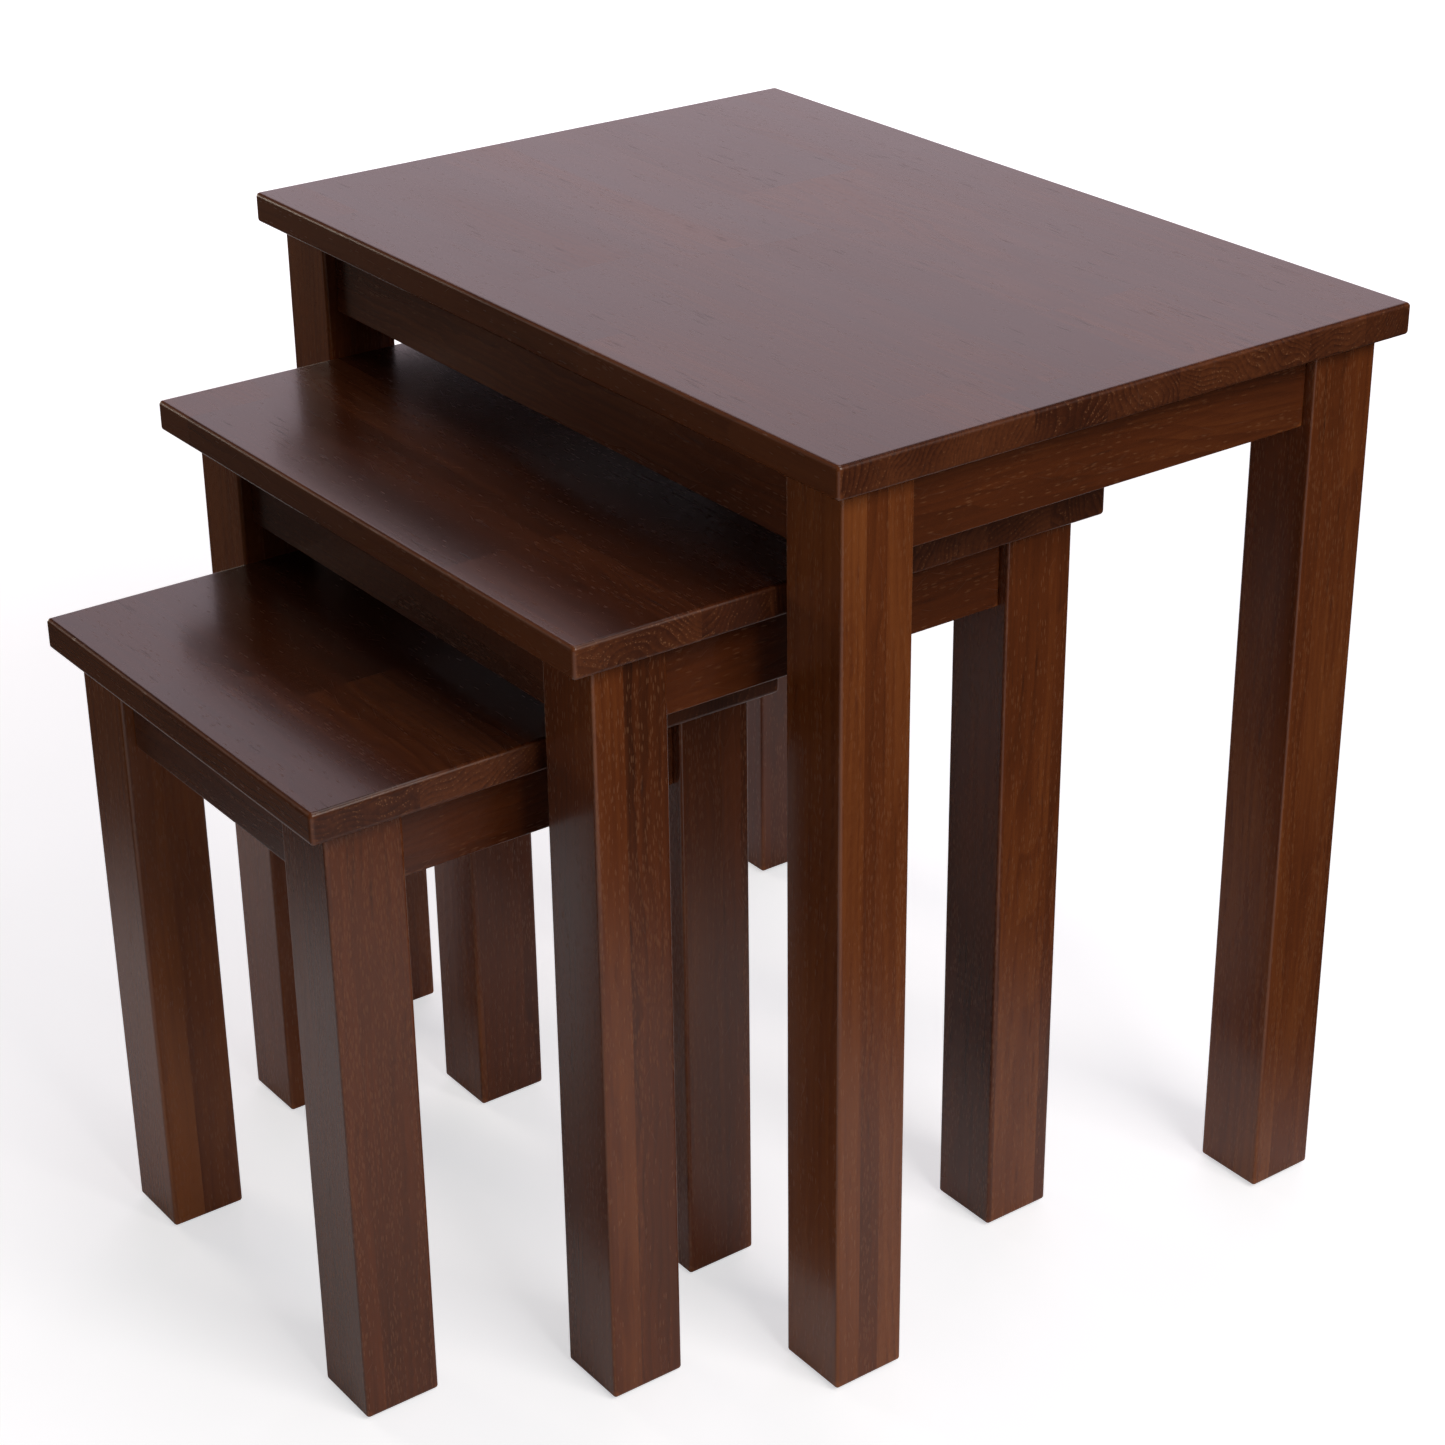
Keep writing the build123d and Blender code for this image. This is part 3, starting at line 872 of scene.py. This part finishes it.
def make_screw_tree():
    tree, given, out = new_tree(
        "cross-head screw", "GeometryNodeTree",
        {
            "Seats": GEOMETRY, "Head Radius": 0.004, "Head Height": 0.003, "Shank Radius": 0.002,
            "Length": 0.022, "Pitch": 0.0016, "Thread Depth": 0.0004, "Tip Length": 0.003,
            "Cross Length": 0.0044, "Cross Width": 0.0009, "Cross Depth": 0.0016,
            "Finish": MATERIAL,
        },
        {"Geometry": GEOMETRY},
    )
    turns = over(given["Length"], given["Pitch"])
    thread_rows = maths("CEIL", times(turns, ROWS_IN_THREAD))
    rows = plus(thread_rows, HEAD_ROWS + 1)
    net, turn, row = lathe_net(tree, 20, rows, plus(rows, 1.0))

    swing = least(over(row, HEAD_ROWS), 1.0)
    swing = times(swing, math.pi / 2)
    dome_radius = maths("POWER", maths("SINE", swing), 0.8)
    dome_radius = times(dome_radius, given["Head Radius"])
    rise = maths("POWER", maths("COSINE", swing), 0.6)
    dome_height = times(rise, given["Head Height"])

    past = most(minus(row, HEAD_ROWS + 1), 0.0)
    down = times(over(past, thread_rows), given["Length"])
    winding = minus(over(down, given["Pitch"]), turn)
    crest = maths("ABSOLUTE", minus(maths("FRACT", winding), 0.5))
    groove = times(times(crest, 2.0), given["Thread Depth"])
    shank = minus(given["Shank Radius"], groove)
    left = minus(given["Length"], down)
    taper = least(over(left, given["Tip Length"]), 1.0)
    shank = times(shank, taper)
    below = most(minus(row, HEAD_ROWS), 0.0)
    below = least(below, 1.0)
    in_dome = times(dome_radius, minus(1.0, below))
    radius = plus(in_dome, times(shank, below))
    turned = set_on_lathe(net, turn, radius, minus(down, dome_height))

    cut = node(tree, "GeometryNodeMeshBoolean", operation="DIFFERENCE")
    feed(turned, cut.inputs["Mesh 1"])
    long, wide = given["Cross Length"], given["Cross Width"]
    deep = times(given["Cross Depth"], 2.0)
    place = combine(0.0, 0.0, times(given["Head Height"], -1.0))
    for size_x, size_y in ((long, wide), (wide, long)):
        bar = node(tree, "GeometryNodeMeshCube")
        feed(combine(size_x, size_y, deep), bar.inputs["Size"])
        moved = through("GeometryNodeTransform", bar.outputs["Mesh"], Translation=place)
        tree.links.new(moved, cut.inputs["Mesh 2"])
    piece = shade_by_angle(cut.outputs["Mesh"])
    stand_on_seats(tree, given["Seats"], piece, given["Finish"], out["Geometry"])
    return tree


screw_tree = make_screw_tree()
print("cross-head screw:", len(screw_tree.nodes), "nodes")

# %% [markdown]
# ### Zinc plate
# The screws are steel with a thin bright zinc coat, which blooms to a dull patchy grey. The bloom
# drives both the colour and the roughness, and fine turning lines come from noise
# squeezed along one axis.

# %% Zinc for the screws
def zinc():
    made, tree, shader = plain_material("zinc-plated steel")
    place = node(tree, "ShaderNodeTexCoord").outputs["Object"]
    bloom = noise(place, 900.0, 4.0, 0.6)
    turned = stretched_noise(place, (400.0, 400.0, 6000.0), 2.0)
    colour = ramp(bloom, [(0.3, (0.38, 0.37, 0.34)), (0.7, (0.62, 0.62, 0.60))])
    rough = remap(bloom, 0.3, 0.7, 0.28, 0.45)
    look = {"Base Color": colour, "Roughness": rough, "Normal": relief(turned, 0.3, 0.00005)}
    feed_all(shader, look | {"Metallic": 1.0})
    return made


zinc_finish = zinc()
print("screw material:", zinc_finish.name)

# %% [markdown]
# ## Seats
# The seats come from the CAD model itself. Every screw there is one loose part of a mesh, and its
# box is longest the way that the screw was driven. The head is the wide end of the part, so the
# seat lies one head height in from that end.

# %% Find the seats and drive the screws
HEAD_HEIGHT = 0.003
SAME_PLACE = 0.00001


def loose_parts(cad_object):
    """Points of each separate part of a CAD mesh."""
    mesh = cad_object.data
    keys = [tuple(round(value / SAME_PLACE) for value in v.co) for v in mesh.vertices]
    leader = {key: key for key in keys}

    def find(key):
        while leader[key] != key:
            leader[key] = leader[leader[key]]
            key = leader[key]
        return key

    for edge in mesh.edges:
        first, second = (find(keys[index]) for index in edge.vertices)
        leader[first] = second
    parts = {}
    for key, v in zip(keys, mesh.vertices):
        parts.setdefault(find(key), []).append(v.co.copy())
    return sorted(parts.values(), key=lambda part: [min(p[axis] for p in part) for axis in range(3)])


def seat_of(points):
    """Seat, drive direction and length under the head of one CAD screw."""
    low = Vector([min(p[axis] for p in points) for axis in range(3)])
    high = Vector([max(p[axis] for p in points) for axis in range(3)])
    size = high - low
    axis = max(range(3), key=lambda a: size[a])
    centre = (low + high) / 2

    def width(points_there):
        return max((p - centre).length for p in points_there)

    near_low = [p for p in points if p[axis] < low[axis] + HEAD_HEIGHT]
    near_high = [p for p in points if p[axis] > high[axis] - HEAD_HEIGHT]
    head_is_low = width(near_low) > width(near_high)
    drive = Vector((0.0, 0.0, 0.0))
    drive[axis] = 1.0 if head_is_low else -1.0
    seat = centre.copy()
    seat[axis] = low[axis] + HEAD_HEIGHT if head_is_low else high[axis] - HEAD_HEIGHT
    return seat, drive, size[axis] - HEAD_HEIGHT


def seats_mesh(name, places, drives):
    mesh = bpy.data.meshes.new(name)
    mesh.from_pydata(places, [], [])
    drive = mesh.attributes.new("drive", "FLOAT_VECTOR", "POINT")
    drive.data.foreach_set("vector", [value for way in drives for value in way])
    return mesh


for table in TABLES:
    for kind, radius, pitch in (("block_screws", 0.002, 0.0016), ("top_screws", 0.00225, 0.0018)):
        cad_node = f"{table}_{kind}"
        found = [seat_of(points) for points in loose_parts(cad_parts[cad_node])]
        seats = seats_mesh(cad_node, [f[0] for f in found], [f[1] for f in found])
        screws = made_by(
            screw_tree,
            f"{cad_node}_turned",
            {
                "Head Height": HEAD_HEIGHT,
                "Shank Radius": radius,
                "Length": found[0][2],
                "Pitch": pitch,
                "Finish": zinc_finish,
            },
            seats,
        )
        hand_over(screws, f"{table}_table", "zinc_screw", cad_node)
        print(cad_node, len(found), "screws,", round(found[0][2] * 1000, 1), "mm under the head")

# %% [markdown]
# ## Felt pads
# A stuck-on felt disc under each leg lets a table slide in and out of the nest. The same lathe
# serves, with a half-round rim and a rule that ruffles it: cut felt has no sharp edge.

# %% Pad tree and pads
PAD_FLAT_ROWS = 4
PAD_RIM_ROWS = 6


def make_pad_tree():
    tree, given, out = new_tree(
        "felt pad", "GeometryNodeTree",
        {
            "Seats": GEOMETRY, "Radius": 0.016, "Thickness": 0.002, "Ruffle": 0.0003,
            "Finish": MATERIAL,
        },
        {"Geometry": GEOMETRY},
    )
    rows = 2 * PAD_FLAT_ROWS + PAD_RIM_ROWS
    net, turn, row = lathe_net(tree, 64, float(rows), rows + 1)
    half = times(given["Thickness"], 0.5)
    out_share = least(over(row, PAD_FLAT_ROWS), 1.0)
    back = minus(row, PAD_FLAT_ROWS + PAD_RIM_ROWS)
    back = most(over(back, PAD_FLAT_ROWS), 0.0)
    rim = over(minus(row, PAD_FLAT_ROWS), PAD_RIM_ROWS)
    rim = times(least(most(rim, 0.0), 1.0), math.pi)
    flat = minus(given["Radius"], half)
    radius = times(flat, minus(out_share, back))
    bulge = maths("SINE", rim)
    angle = times(turn, 2 * math.pi)
    ring = combine(maths("COSINE", angle), maths("SINE", angle), row)
    ruffle = minus(noise(ring, 6.0, 3.0), 0.62)
    ruffle = times(times(ruffle, given["Ruffle"]), bulge)
    radius = plus(radius, times(bulge, half))
    radius = plus(radius, ruffle)
    height = times(half, plus(maths("COSINE", rim), 1.0))
    turned = set_on_lathe(net, turn, radius, height)
    smooth = through("GeometryNodeSetShadeSmooth", turned)
    stand_on_seats(tree, given["Seats"], smooth, given["Finish"], out["Geometry"])
    return tree


def felt():
    made, tree, shader = plain_material("brown felt")
    place = node(tree, "ShaderNodeTexCoord").outputs["Object"]
    tufts = noise(place, 1500.0, 5.0, 0.7)
    colour = ramp(tufts, [(0.3, (0.030, 0.020, 0.014)), (0.7, (0.085, 0.060, 0.044))])
    rough = remap(tufts, 0.3, 0.7, 0.85, 1.0)
    look = {"Base Color": colour, "Roughness": rough, "Normal": relief(tufts, 0.8, 0.0004)}
    feed_all(shader, look | {"Sheen Weight": 0.4})
    return made


pad_tree = make_pad_tree()
felt_finish = felt()
UPWARDS = (0.0, 0.0, 1.0)
for table in TABLES:
    cad_node = f"{table}_felt_pads"
    places = []
    for points in loose_parts(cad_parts[cad_node]):
        spans = [(min(p[axis] for p in points), max(p[axis] for p in points)) for axis in range(2)]
        places.append([sum(span) / 2 for span in spans] + [0.0])
    seats = seats_mesh(cad_node, places, [UPWARDS] * len(places))
    pads = made_by(pad_tree, f"{cad_node}_cut", {"Finish": felt_finish}, seats)
    hand_over(pads, f"{table}_table", "felt_pad", cad_node)
print("felt pad:", len(pad_tree.nodes), "nodes,", len(pads.data.polygons), "faces on the last table")

# %% [markdown]
# ## Hidden wood
# The corner blocks and dowels keep their CAD shape, which is already right: sawn blocks with
# crisp edges and turned pegs. They only need their own wood. The blocks are stained along with
# the frame but never lacquered, so they stay matt with their saw lines open. The dowels are bare
# beech with its short brown rays, sealed inside the joints.

# %% Unlacquered woods
def unlacquered_wood(name, stops, stretch, ray_share, ray_colour):
    made, tree, shader = plain_material(name)
    place = node(tree, "ShaderNodeTexCoord").outputs["Object"]
    lines = stretched_noise(place, stretch, 4.0, 0.6, 0.4)
    clouds = noise(place, 30.0, 3.0)
    tone = plus(times(lines, 0.7), times(clouds, 0.3))
    colour = ramp(tone, stops)
    cells = random_cells(times(times(place, stretch), 4.0))
    rare = maths("LESS_THAN", separate(cells["Color"])[0], ray_share)
    dash = remap(cells["Distance"], 0.1, 0.35, 1.0, 0.0, smooth=True)
    rays = times(dash, rare)
    colour = mix_colour(times(rays, 0.6), colour, (*ray_colour, 1.0))
    rough = remap(lines, 0.3, 0.7, 0.62, 0.78)
    look = {"Base Color": colour, "Roughness": rough, "Normal": relief(lines, 0.4, 0.0002)}
    feed_all(shader, look)
    return made


block_wood = unlacquered_wood(
    "stained block wood", [(0.3, (0.10, 0.042, 0.020)), (0.7, (0.22, 0.105, 0.056))],
    (160.0, 160.0, 14.0), 0.25, (0.06, 0.025, 0.012),
)
dowel_wood = unlacquered_wood(
    "beech", [(0.3, (0.45, 0.28, 0.16)), (0.7, (0.62, 0.43, 0.27))],
    (90.0, 90.0, 240.0), 0.3, (0.30, 0.16, 0.08),
)
for table in TABLES:
    hidden = {f"{table}_corner_block_{corner}": block_wood for corner in CORNERS}
    hidden[f"{table}_dowels"] = dowel_wood
    for cad_node, finish in hidden.items():
        for cad_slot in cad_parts[cad_node].material_slots:
            cad_slot.material = finish
print("unlacquered woods on", len(CORNERS) * len(TABLES), "blocks and", len(TABLES), "sets of dowels")

# %% [markdown]
# ## Light and floor
# The tables stand on a roll of pale paper that is barely wider than the nest, in a room that is
# otherwise dark. Lacquered legs mirror what lies beside them: the paper near their feet, and the
# dark room higher up, which keeps the colour deep. The tops mirror the paper where it rises behind
# them, so a broad pale panel stands there. Soft lamps light the wood itself. The floor is one
# sheet: to the camera it is pale all the way out, and only in reflections and in its bounced
# light does it end at the paper's sides.

# %% Floor
FLOOR_REACH = 40.0
FLOOR_DROP = 0.0001         # keeps the sheet off the pads' undersides
PAPER_MIDDLE = -0.11        # sideways from the middle of the nest, as the camera sees it
PAPER_HALF_WIDTH = 0.56
PAPER_FADE = 0.22
FAR_FROM, FAR_TO = 0.9, 2.6
NEAR_GLOW, FAR_GLOW = 0.60, 0.97
PAPER_COLOUR = (0.86, 0.87, 0.92, 1.0)
ROOM_COLOUR = (0.05, 0.05, 0.05, 1.0)
SKY_COLOUR = (0.97, 0.98, 1.0, 1.0)


def make_floor():
    made, tree, shader = plain_material("pale paper")
    sideways = (math.cos(math.radians(CAMERA_AZIMUTH)), math.sin(math.radians(CAMERA_AZIMUTH)), 0.0)
    place = node(tree, "ShaderNodeTexCoord").outputs["Object"]
    side = maths("DOT_PRODUCT", place, sideways)
    off = maths("ABSOLUTE", minus(side, PAPER_MIDDLE))
    edge_start, edge_end = PAPER_HALF_WIDTH - PAPER_FADE / 2, PAPER_HALF_WIDTH + PAPER_FADE / 2
    paper = remap(off, edge_start, edge_end, 1.0, 0.0, smooth=True)
    seen = node(tree, "ShaderNodeLightPath").outputs["Is Camera Ray"]
    colour = mix_colour(most(paper, seen), ROOM_COLOUR, PAPER_COLOUR)
    fibres = noise(place, 60.0, 3.0)
    colour = mix_colour(times(fibres, 0.03), colour, ROOM_COLOUR)
    # far out, where the lamps hardly reach, the sheet glows a little more to stay as pale
    away = maths("LENGTH", place)
    glow = remap(away, FAR_FROM, FAR_TO, NEAR_GLOW, FAR_GLOW, smooth=True)
    look = {"Base Color": colour, "Roughness": 0.9, "Specular IOR Level": 0.1}
    look |= {"Emission Color": SKY_COLOUR, "Emission Strength": times(seen, glow)}
    feed_all(shader, look)
    # from beneath the sheet is clear, so that the undersides can be looked at
    clear = node(tree, "ShaderNodeBsdfTransparent")
    choice = node(tree, "ShaderNodeMixShader")
    ending = next(n for n in tree.nodes if n.type == "OUTPUT_MATERIAL")
    feed(node(tree, "ShaderNodeNewGeometry").outputs["Backfacing"], choice.inputs[0])
    tree.links.new(shader.outputs[0], choice.inputs[1])
    tree.links.new(clear.outputs[0], choice.inputs[2])
    tree.links.new(choice.outputs[0], ending.inputs["Surface"])
    mesh = bpy.data.meshes.new("floor")
    reach, level = FLOOR_REACH, -FLOOR_DROP
    spans = ((-reach, -reach), (reach, -reach), (reach, reach), (-reach, reach))
    corners = [(x, y, level) for x, y in spans]
    mesh.from_pydata(corners, [], [(0, 1, 2, 3)])
    mesh.materials.append(made)
    floor = bpy.data.objects.new("floor", mesh)
    bpy.context.scene.collection.objects.link(floor)
    floor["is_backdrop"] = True


make_floor()
print("paper", 2 * PAPER_HALF_WIDTH, "m wide on a sheet", 2 * FLOOR_REACH, "m wide")

# %% [markdown]
# ### Lamps
# Brightness is given as what the lamp's face looks like beside white paper, because that is what
# the lacquer mirrors. A lamp's energy then follows from its size. The key stands on the right and
# lights the right-hand faces. A small warm one low on the left keeps the front faces from going
# black, one overhead fills, and the back panel is what the tops mirror.

# %% Lamps
def soft_lamp(name, place, target, size_x, size_y, brightness, colour):
    """A rectangular lamp. brightness is what its face looks like, with white paper at 1."""
    data = bpy.data.lights.new(name, "AREA")
    data.shape = "RECTANGLE"
    data.size, data.size_y = size_x, size_y
    data.energy = brightness * math.pi * size_x * size_y
    data.color = colour
    lamp = bpy.data.objects.new(name, data)
    bpy.context.scene.collection.objects.link(lamp)
    look = Vector(target) - Vector(place)
    lamp.matrix_world = Matrix.Translation(place) @ look.to_track_quat("-Z", "Y").to_matrix().to_4x4()
    lamp.visible_camera = False


MIDDLE = (cad_low + cad_high) / 2
ROOM_LIGHT = 0.06
LAMPS = [
    ("key on the right", (2.1, 0.15, 1.9), MIDDLE, 1.4, 1.2, 6.6, (1.0, 0.95, 0.88)),
    ("low on the left", (-2.5, -0.75, 0.72), MIDDLE, 0.9, 0.6, 10.0, (1.0, 0.88, 0.74)),
    ("overhead", (0.0, 0.5, 2.9), MIDDLE, 2.0, 1.4, 1.5, (1.0, 0.98, 0.96)),
    ("back panel", (-1.9, 1.92, 1.4), (0.0, 0.0, 0.8), 3.4, 2.5, 0.80, (1.12, 0.90, 1.0)),
]
for lamp_setting in LAMPS:
    soft_lamp(*lamp_setting)
world = bpy.data.worlds.new("studio")
bpy.context.scene.world = world
world.use_nodes = True
air = world.node_tree
back = next(n for n in air.nodes if n.type == "BACKGROUND")
back.inputs["Color"].default_value = SKY_COLOUR
seen = node(air, "ShaderNodeLightPath").outputs["Is Camera Ray"]
feed(remap(seen, 0.0, 1.0, ROOM_LIGHT, FAR_GLOW), back.inputs["Strength"])
bpy.context.scene.view_settings.view_transform = "Standard"
print("lamps:", [lamp_setting[0] for lamp_setting in LAMPS])

# %% [markdown]
# ## Sizes
# The dressed pieces must fill the same box as the CAD parts. How far their box has grown past
# the CAD box is printed.

# %% Sizes
visual_low, visual_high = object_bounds()
grown = max((cad_low - visual_low).length, (visual_high - cad_high).length)
print("grown by", round(grown * 1000, 3), "mm")
